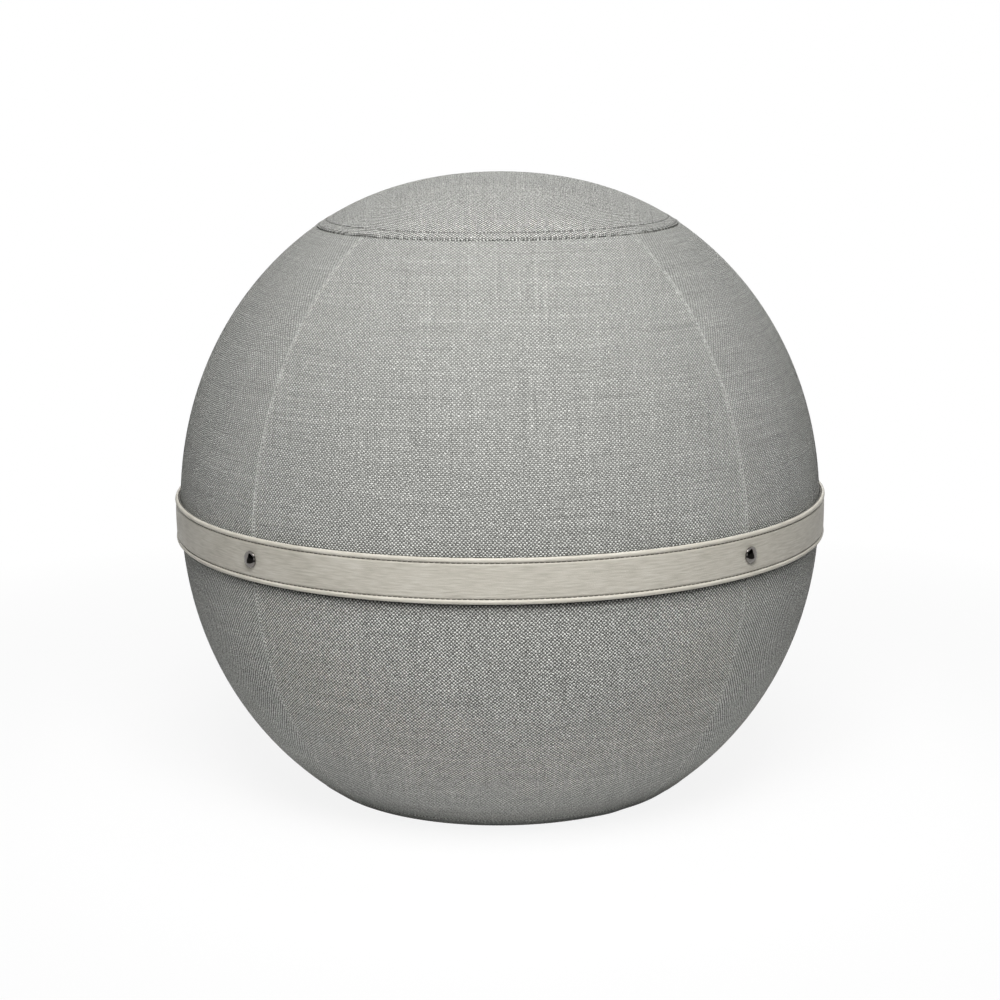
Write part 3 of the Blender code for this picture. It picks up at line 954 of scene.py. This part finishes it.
def soleUv(column, row):
    turn = math.tau * column / sole["columns"]
    return soleRadius(row) * math.sin(turn), soleRadius(row) * math.cos(turn)


solePiece = layCloth("cover_sole", sole["columns"], sole["rows"], solePlace, soleUv, noSeam, sole["wall"])
soleWeave = dict(weave, pitch=0.0011, warp=(0.10, 0.10, 0.10), weft=(0.16, 0.16, 0.16), slub=0.3)
dress(solePiece, slubCloth("sole_cloth", seed=71.0, look=soleWeave), "ball", "base_cloth", "base_panel")
print("base sewn")

# belt: padded strap with rolled edges, a stitched groove along each and a butted joint at the back
belt = dict(
    middle=(beltLow.z + beltHigh.z) / 2,
    clear=0.0004,  # how much narrower it is than its solid
    inner=0.0019,
    outer=0.0039,
    edgeRound=0.0012,
    backEdge=0.0003,  # the back's edges, drawn up a little
    backRise=0.0002,
    backFlat=0.0012,
    backDeep=0.0006,  # how much of the strap counts as its back
    faceSteps=6,
    bead=0.0006,
    beadAt=0.0021,
    beadWidth=0.0015,
    grooveAt=0.0040,
    groove=0.0009,
    grooveWidth=0.0006,
    hole=0.0003,
    stitches=416,
    thread=0.0008,
    threadLength=0.0035,
    threadProud=0.0002,
    jointGap=0.0004,
    studDip=0.0006,
    studReach=0.0088,
)
beltHalf = (beltHigh.z - beltLow.z - belt["clear"]) / 2
# across the strap: from its edge to past its groove, then evenly to the middle
edgeStations = [0.0, 0.0001, 0.0003, 0.0006, 0.0010, 0.0015, 0.0021, 0.0027, 0.0032]
edgeStations += [0.0035, 0.00375, 0.0040, 0.00425, 0.0045, 0.0048, 0.0054, 0.0065]
faceStations = [beltHalf - e for e in edgeStations]
faceStations += [faceStations[-1] * (1 - i / belt["faceSteps"]) for i in range(1, belt["faceSteps"])]
faceStations += [0.0] + [-s for s in faceStations[::-1]]


def beltFace(across):
    fromEdge = beltHalf - abs(across)
    proud = belt["outer"] + belt["bead"] * bell(fromEdge - belt["beadAt"], belt["beadWidth"])
    proud -= belt["groove"] * bell(fromEdge - belt["grooveAt"], belt["grooveWidth"])
    share = 1 - min(1.0, fromEdge / belt["edgeRound"])
    return proud - belt["edgeRound"] * (1 - math.sqrt(1 - share * share))


def beltPoint(across, proud):
    return coverPoint(angleAtHeight(belt["middle"] + across), proud)


def beltOutline():
    points = [(across, beltFace(across)) for across in faceStations]
    back = [(beltHalf - belt["backFlat"], belt["inner"])]
    back.append((beltHalf - belt["backEdge"], belt["inner"] + belt["backRise"]))
    points += [(-across, proud) for across, proud in back[::-1]] + back
    return [beltPoint(across, proud) for across, proud in points]


jointTurn = belt["jointGap"] / cover["radius"]
beltPiece = spinSection("belt_strap", beltOutline(), 2 * belt["stitches"], math.pi + jointTurn / 2,
                        math.tau - jointTurn)
studTurns = [math.pi / 4 + math.pi / 2 * i for i in range(4)]
for vertex in beltPiece.data.vertices:
    turn = math.atan2(vertex.co.x, -vertex.co.y)
    reach = math.hypot(vertex.co.x, vertex.co.y)
    across = vertex.co.z - belt["middle"]
    if reach - coverPoint(angleAtHeight(vertex.co.z))[0] < belt["inner"] + belt["backDeep"]:
        continue
    dip = 0.0
    for studTurn in studTurns:
        away = math.hypot(turnFrom(studTurn, turn) * cover["radius"], across)
        dip += belt["studDip"] * math.exp(-(away / belt["studReach"]) ** 4)
    if round(turn / math.tau * 2 * belt["stitches"]) % 2 == 0:
        dip += belt["hole"] * bell(beltHalf - abs(across) - belt["grooveAt"], belt["grooveWidth"])
    vertex.co = aroundPoint(reach - dip, turn, vertex.co.z)
bandUv(beltPiece, belt["middle"])
dress(beltPiece, fauxLeather("belt_faux_leather"), "belt", "belt_faux_leather", "belt_face")

beltThread = mottled("belt_thread", (0.125, 0.115, 0.095), rough=0.8, scale=900.0, relief=0.0002)
threadOut = belt["outer"] - belt["groove"] + belt["threadProud"]
for word, side in (("upper", 1), ("lower", -1)):
    height = belt["middle"] + side * (beltHalf - belt["grooveAt"])
    spots = ringSpots(angleAtHeight(height), threadOut, belt["stitches"])
    stitchRow("belt_stitches_" + word, spots, belt, beltThread, "belt", "belt_faux_leather")

jointRows = dict(aside=0.006, count=6, pitch=0.0042, proud=0.0001)
spots = []
for side in (-1, 1):
    turn = math.pi + side * jointRows["aside"] / cover["radius"]
    for i in range(jointRows["count"]):
        across = (i - (jointRows["count"] - 1) / 2) * jointRows["pitch"]
        radius, height = beltPoint(across, belt["outer"] + jointRows["proud"])
        spots.append((aroundPoint(radius, turn, height), Vector((0, 0, 1)), aroundPoint(1.0, turn, 0.0)))
stitchRow("belt_stitches_joint", spots, belt, beltThread, "belt", "belt_faux_leather")

# backing strip behind the belt
lining = dict(inner=0.0004, outer=0.0016, inset=0.0011, across=(1, 0.5, 0, -0.5, -1), steps=240)
liningHalf = beltHalf - lining["inset"]
liningOutline = []
for proud, stations in ((lining["outer"], lining["across"]), (lining["inner"], lining["across"][::-1])):
    for share in stations:
        liningOutline.append(beltPoint(share * liningHalf, proud))
liningPiece = spinSection("belt_backing", liningOutline, lining["steps"])
bandUv(liningPiece, belt["middle"])
liningWeave = dict(weave, pitch=0.0008, warp=(0.24, 0.23, 0.21), weft=(0.40, 0.39, 0.36), slub=0.3)
backingCloth = slubCloth("backing_cloth", seed=91.0, look=liningWeave)
dress(liningPiece, backingCloth, "belt", "belt_lining_cloth", "belt_lining")
print("belt stitched")

# studs: a disc raised to a dome in rings, with a rolled rim
stud = dict(
    radius=0.00675,
    sides=48,
    rim=0.0010,
    rimRound=0.00025,
    ledge=0.06,  # the dome starts this far inside the edge, share of the radius
    domeRise=0.0021,
    rings=9,
    flatTop=0.6,  # half the width of the flat top, in rings
    seat=0.0035,
    height=0.2375,
    burrRound=0.0001,
)
deselectAll()
bpy.ops.mesh.primitive_cylinder_add(vertices=stud["sides"], radius=stud["radius"], depth=stud["rim"],
                                    location=(0, 0, stud["rim"] / 2))
studPattern = nameNewPiece("stud_one")
applyPlace()
selectFaces(studPattern, lambda face: face.normal.z > facing)
lastAcross, lastRise = 1.0, 0.0
for ring in range(1, stud["rings"] + 1):
    bend = math.pi / 2 * (1 - ring / (stud["rings"] + stud["flatTop"]))
    across, rise = math.sin(bend), math.cos(bend)
    inward = (lastAcross - across) * (1 - stud["ledge"])
    if ring == 1:
        inward += stud["ledge"]
    bpy.ops.mesh.inset(thickness=inward * stud["radius"])
    bpy.ops.transform.translate(value=(0, 0, (rise - lastRise) * stud["domeRise"]))
    lastAcross, lastRise = across, rise
objectMode()
roundEdges(studPattern, stud["rimRound"], segments=3, sharp=50, smooth=60)
gunmetal = mottled("stud_gunmetal", (0.17, 0.160, 0.150), rough=0.10, scale=300.0, relief=0.00003,
                   metallic=1.0, spread=0.10)
studSeat = coverPoint(angleAtHeight(stud["height"]), stud["seat"])[0]
for number, studTurn in enumerate(studTurns, 1):
    piece = newCopy("stud_cap_%d" % number, studPattern.data)
    piece.rotation_euler = (math.pi / 2, 0, studTurn)
    piece.location = aroundPoint(studSeat, studTurn, stud["height"])
    makeActive(piece)
    applyPlace()
    dress(piece, gunmetal, "belt", "rivet_gunmetal", "rivet_cap_%d" % number)
    roundedCopy("rivet_burr_%d" % number, "stud_burr_%d" % number, stud["burrRound"], gunmetal, "belt",
                "rivet_gunmetal")
bpy.data.objects.remove(studPattern)
print("studs set")

# zip round the back of the base: two tapes, their teeth, slider, pull and stops
zipSearch = 0.0002      # step of the search for its upper edge, in radians
zipTopAngle = angleAtHeight(cover["baseSeam"])
while math.dist(coverPoint(zipTopAngle), zipFoot) < zipWidth:
    zipTopAngle += zipSearch
zipTop = coverPoint(zipTopAngle)
zipUp = ((zipTop[0] - zipFoot[0]) / zipWidth, (zipTop[1] - zipFoot[1]) / zipWidth)
zipper = dict(
    tapeEnd=math.radians(44.75),
    tapeColumns=180,
    tapeRows=12,
    edge=0.0003,
    middleGap=0.0002,
    wall=0.0009,
    sunk=0.0001,
    rib=0.00012,  # every third row of the tape stands up
    ribEvery=3,
    chainEnd=math.radians(39.8),
    teeth=156,
    toothWidth=0.0009,
    stem=0.0005,
    stemFrom=0.0002,
    stemTop=0.0016,
    head=0.0017,
    reach=0.0022,
    toothRound=0.00016,
    stitchUp={"lower": 0.0016, "upper": 0.0124},
    stitches=70,
    thread=0.0007,
    threadLength=0.0031,
    threadProud=0.0001,
    metalRound=0.0002,
    stopRound=0.0004,
)


def zipPoint(turn, up, out):
    radius = zipFoot[0] + up * zipUp[0] + out * zipUp[1]
    height = zipFoot[1] + up * zipUp[1] - out * zipUp[0]
    return aroundPoint(radius, math.pi + turn, height)


def zipFrame(turn, up, out, side):
    spot = zipPoint(turn, up, out)
    outward = (zipPoint(turn, up, out + probe) - spot).normalized()
    climb = (zipPoint(turn, up + probe, out) - spot).normalized() * side
    return spot, climb.cross(outward), outward


def zipSpots(count, phase, end, up, out, side):
    turns = [end * (2 * (i + phase) / count - 1) for i in range(count)]
    return [zipFrame(turn, up, out, side) for turn in turns]


tapeWeave = dict(weave, pitch=0.0007, warp=(0.20, 0.20, 0.19), weft=(0.36, 0.36, 0.345), slub=0.3, gap=0.5)
zipTape = slubCloth("zip_tape_cloth", seed=61.0, look=tapeWeave)
zipTeeth = mottled("zip_teeth_nylon", (0.26, 0.26, 0.25), rough=0.4, scale=700.0, relief=0.0001)
zipThread = mottled("zip_thread", (0.16, 0.16, 0.15), rough=0.85, scale=900.0, relief=0.0002)


def zipHalf(word, side, low, high):
    def tapePlace(column, row):
        turn = zipper["tapeEnd"] * (2 * column / zipper["tapeColumns"] - 1)
        up = low + (high - low) * row / zipper["tapeRows"]
        rib = zipper["rib"] if row % zipper["ribEvery"] == 1 else 0.0
        return zipPoint(turn, up, rib - zipper["sunk"])

    def tapeUv(column, row):
        turn = zipper["tapeEnd"] * 2 * column / zipper["tapeColumns"]
        return turn * zipFoot[0], (high - low) * row / zipper["tapeRows"]

    tape = layCloth("zip_tape_cloth_" + word, zipper["tapeColumns"], zipper["tapeRows"], tapePlace, tapeUv,
                    noSeam, zipper["wall"])
    dress(tape, zipTape, "ball", "zip_tape_cloth", "zip_tape_" + word)

    # one tooth: a stem, drawn up and then sideways over its own tape
    deselectAll()
    stemHigh = zipper["stemTop"] - zipper["stemFrom"]
    stemMiddle = (0, zipper["stem"] / 2, zipper["stemFrom"] + stemHigh / 2)
    bpy.ops.mesh.primitive_cube_add(size=1, location=stemMiddle,
                                    scale=(zipper["toothWidth"], zipper["stem"], stemHigh))
    tooth = nameNewPiece("tooth_one")
    applyPlace()
    selectFaces(tooth, lambda face: face.normal.z > facing)
    bpy.ops.mesh.extrude_region_move(TRANSFORM_OT_translate={"value": (0, 0, zipper["head"])})
    selectFaces(tooth, lambda face: face.normal.y > facing and face.center.z > zipper["stemTop"])
    bpy.ops.mesh.extrude_region_move(TRANSFORM_OT_translate={"value": (0, zipper["reach"], 0)})
    selectAll()
    bpy.ops.mesh.bevel(offset=zipper["toothRound"], segments=1, affect="EDGES")
    objectMode()
    smoothBelow(60)
    halfTooth = 0.5 if side > 0 else 0.0    # the upper teeth stand between the lower ones
    spots = zipSpots(zipper["teeth"], halfTooth, zipper["chainEnd"], zipWidth / 2, 0.0, side)
    teeth = copyAlong("zip_teeth_" + word, tooth, spots, zipTeeth, "ball", "zip_teeth_nylon",
                      "zip_chain_" + word)

    up, out = zipper["stitchUp"][word], zipper["threadProud"]
    spots = zipSpots(zipper["stitches"], 0.5, zipper["tapeEnd"], up, out, 1)
    thread = stitchRow("zip_stitches_" + word, spots, zipper, zipThread, "ball", "zip_tape_cloth")
    return [tape, teeth, thread]


zipPieces = zipHalf("lower", -1, zipper["edge"], zipWidth / 2 - zipper["middleGap"])
zipPieces += zipHalf("upper", 1, zipWidth / 2 + zipper["middleGap"], zipWidth - zipper["edge"])
zipMetal = mottled("zip_metal", (0.36, 0.35, 0.34), rough=0.3, scale=300.0, relief=0.00005,
                   metallic=1.0, spread=0.12)
roundedCopy("zip_slider", "zip_slider_body", zipper["metalRound"], zipMetal, "zip_slider", "zip_metal")
roundedCopy("zip_pull", "zip_pull_tab", zipper["metalRound"], zipMetal, "zip_pull", "zip_metal")
for word in ("closed", "open"):
    roundedCopy("zip_stop_" + word, "zip_end_" + word, zipper["stopRound"], zipMetal, "ball", "zip_metal")
print("zip closed")

# floor, light and background
studio = dict(
    floorSize=16.0,
    floorDrop=0.0002,
    floorRough=0.9,
    floorGloss=0.1,
    floorNear=0.84,  # tone of the floor round the ball
    floorFar=0.30,
    toneFrom=0.40,
    toneTo=0.95,
    shadow=0.12,  # share of the floor's own light and shade that is seen
    fadeFrom=0.45,
    fadeTo=1.0,
    ambient=0.035,
)
darkWall = dict(
    radius=5.0,
    height=3.2,
    sides=48,
    behind=-0.3,  # no wall further back than this
    footBelow=0.1,
    footShare=0.14,  # how far in towards the ball its foot reaches
    lift=0.002,
    tone=0.012,
)
lamps = {
    "top_softbox": dict(place=(0.04, -1.45, 2.25), target=(0, 0, 0.3), size=1.35, power=86.0),
    "front_fill": dict(place=(0.0, -3.2, 1.2), target=(0, 0, 0.25), size=2.0, power=4.5),
    "floor_bounce": dict(place=(0, -1.6, 0.12), target=(0, 0, 0.12), size=1.0, power=2.1),
    "back_fill": dict(place=(0.2, 3.0, 0.95), target=(0, 0, 0.25), size=2.0, power=36.0),
}


def seenRays(tree):
    path = newNode(tree, "LightPath")
    other = sums(tree, "MAXIMUM", path.outputs["Is Glossy Ray"], path.outputs["Is Transmission Ray"])
    return sums(tree, "MAXIMUM", path.outputs["Is Camera Ray"], other)


deselectAll()
bpy.ops.mesh.primitive_plane_add(size=studio["floorSize"], location=(0, 0, -studio["floorDrop"]))
floor = nameNewPiece("floor")
applyPlace()
floorMaterial, floorTree, floorShader = newMaterial("pale_floor")
glow = newNode(floorTree, "Emission")
glow.inputs["Strength"].default_value = 1.0
floorPlace = newNode(floorTree, "TexCoord")
away = newNode(floorTree, "VectorMath")
away.operation = "LENGTH"
floorTree.links.new(floorPlace.outputs["Object"], away.inputs[0])
floorTone = ranged(floorTree, away.outputs["Value"], studio["toneFrom"], studio["toneTo"],
                   studio["floorNear"], studio["floorFar"])
setShader(floorTree, floorShader, colour=floorTone, rough=studio["floorRough"], gloss=studio["floorGloss"])
paleShare = ranged(floorTree, away.outputs["Value"], studio["fadeFrom"], studio["fadeTo"],
                   1 - studio["shadow"], 1.0)
floorMix = newNode(floorTree, "MixShader")
floorTree.links.new(sums(floorTree, "MULTIPLY", seenRays(floorTree), paleShare), floorMix.inputs[0])
floorTree.links.new(floorShader.outputs[0], floorMix.inputs[1])
floorTree.links.new(glow.outputs[0], floorMix.inputs[2])
floorTree.links.new(floorMix.outputs[0], floorTree.nodes["Material Output"].inputs[0])
floor.data.materials.append(floorMaterial)

# dark wall round the front of the studio, which only shows in the metal
deselectAll()
bpy.ops.mesh.primitive_cylinder_add(vertices=darkWall["sides"], radius=darkWall["radius"],
                                    depth=darkWall["height"], end_fill_type="NOTHING",
                                    location=(0, 0, darkWall["height"] / 2))
card = nameNewPiece("dark_wall")
applyPlace()
selectFaces(card, lambda face: face.center.y > darkWall["behind"])
bpy.ops.mesh.delete(type="FACE")
bpy.context.tool_settings.mesh_select_mode = (False, True, False)
bpy.ops.mesh.select_all(action="DESELECT")
objectMode()
for edge in card.data.edges:
    edge.select = all(card.data.vertices[i].co.z < darkWall["footBelow"] for i in edge.vertices)
editMode()
bpy.ops.mesh.extrude_edges_move(TRANSFORM_OT_translate={"value": (0, 0, darkWall["lift"])})
bpy.ops.transform.resize(value=(darkWall["footShare"], darkWall["footShare"], 1),
                         center_override=(0, 0, darkWall["lift"]))
objectMode()
cardMaterial, cardTree, cardShader = newMaterial("dark_wall")
setShader(cardTree, cardShader, colour=(*[darkWall["tone"]] * 3, 1.0), rough=1.0)
card.data.materials.append(cardMaterial)
card.visible_camera = False
card.visible_diffuse = False
card.visible_shadow = False
card.visible_transmission = False

world = bpy.context.scene.world or bpy.data.worlds.new("studio")
bpy.context.scene.world = world
world.use_nodes = True
background = world.node_tree.nodes["Background"]
background.inputs["Color"].default_value = (1.0, 1.0, 1.0, 1.0)
worldLevel = between(world.node_tree, seenRays(world.node_tree), studio["ambient"], 1.0)
world.node_tree.links.new(worldLevel, background.inputs["Strength"])


def areaLight(name, place, target, size, power):
    deselectAll()
    turn = (Vector(target) - Vector(place)).to_track_quat("-Z", "Y").to_euler()
    bpy.ops.object.light_add(type="AREA", location=place, rotation=turn)
    lamp = bpy.context.object
    lamp.name = name
    lamp.data.size = size
    lamp.data.energy = power


for name, settings in lamps.items():
    areaLight(name, **settings)
bpy.context.scene.view_settings.view_transform = "Standard"
print("studio lit")

bpy.context.view_layer.update()
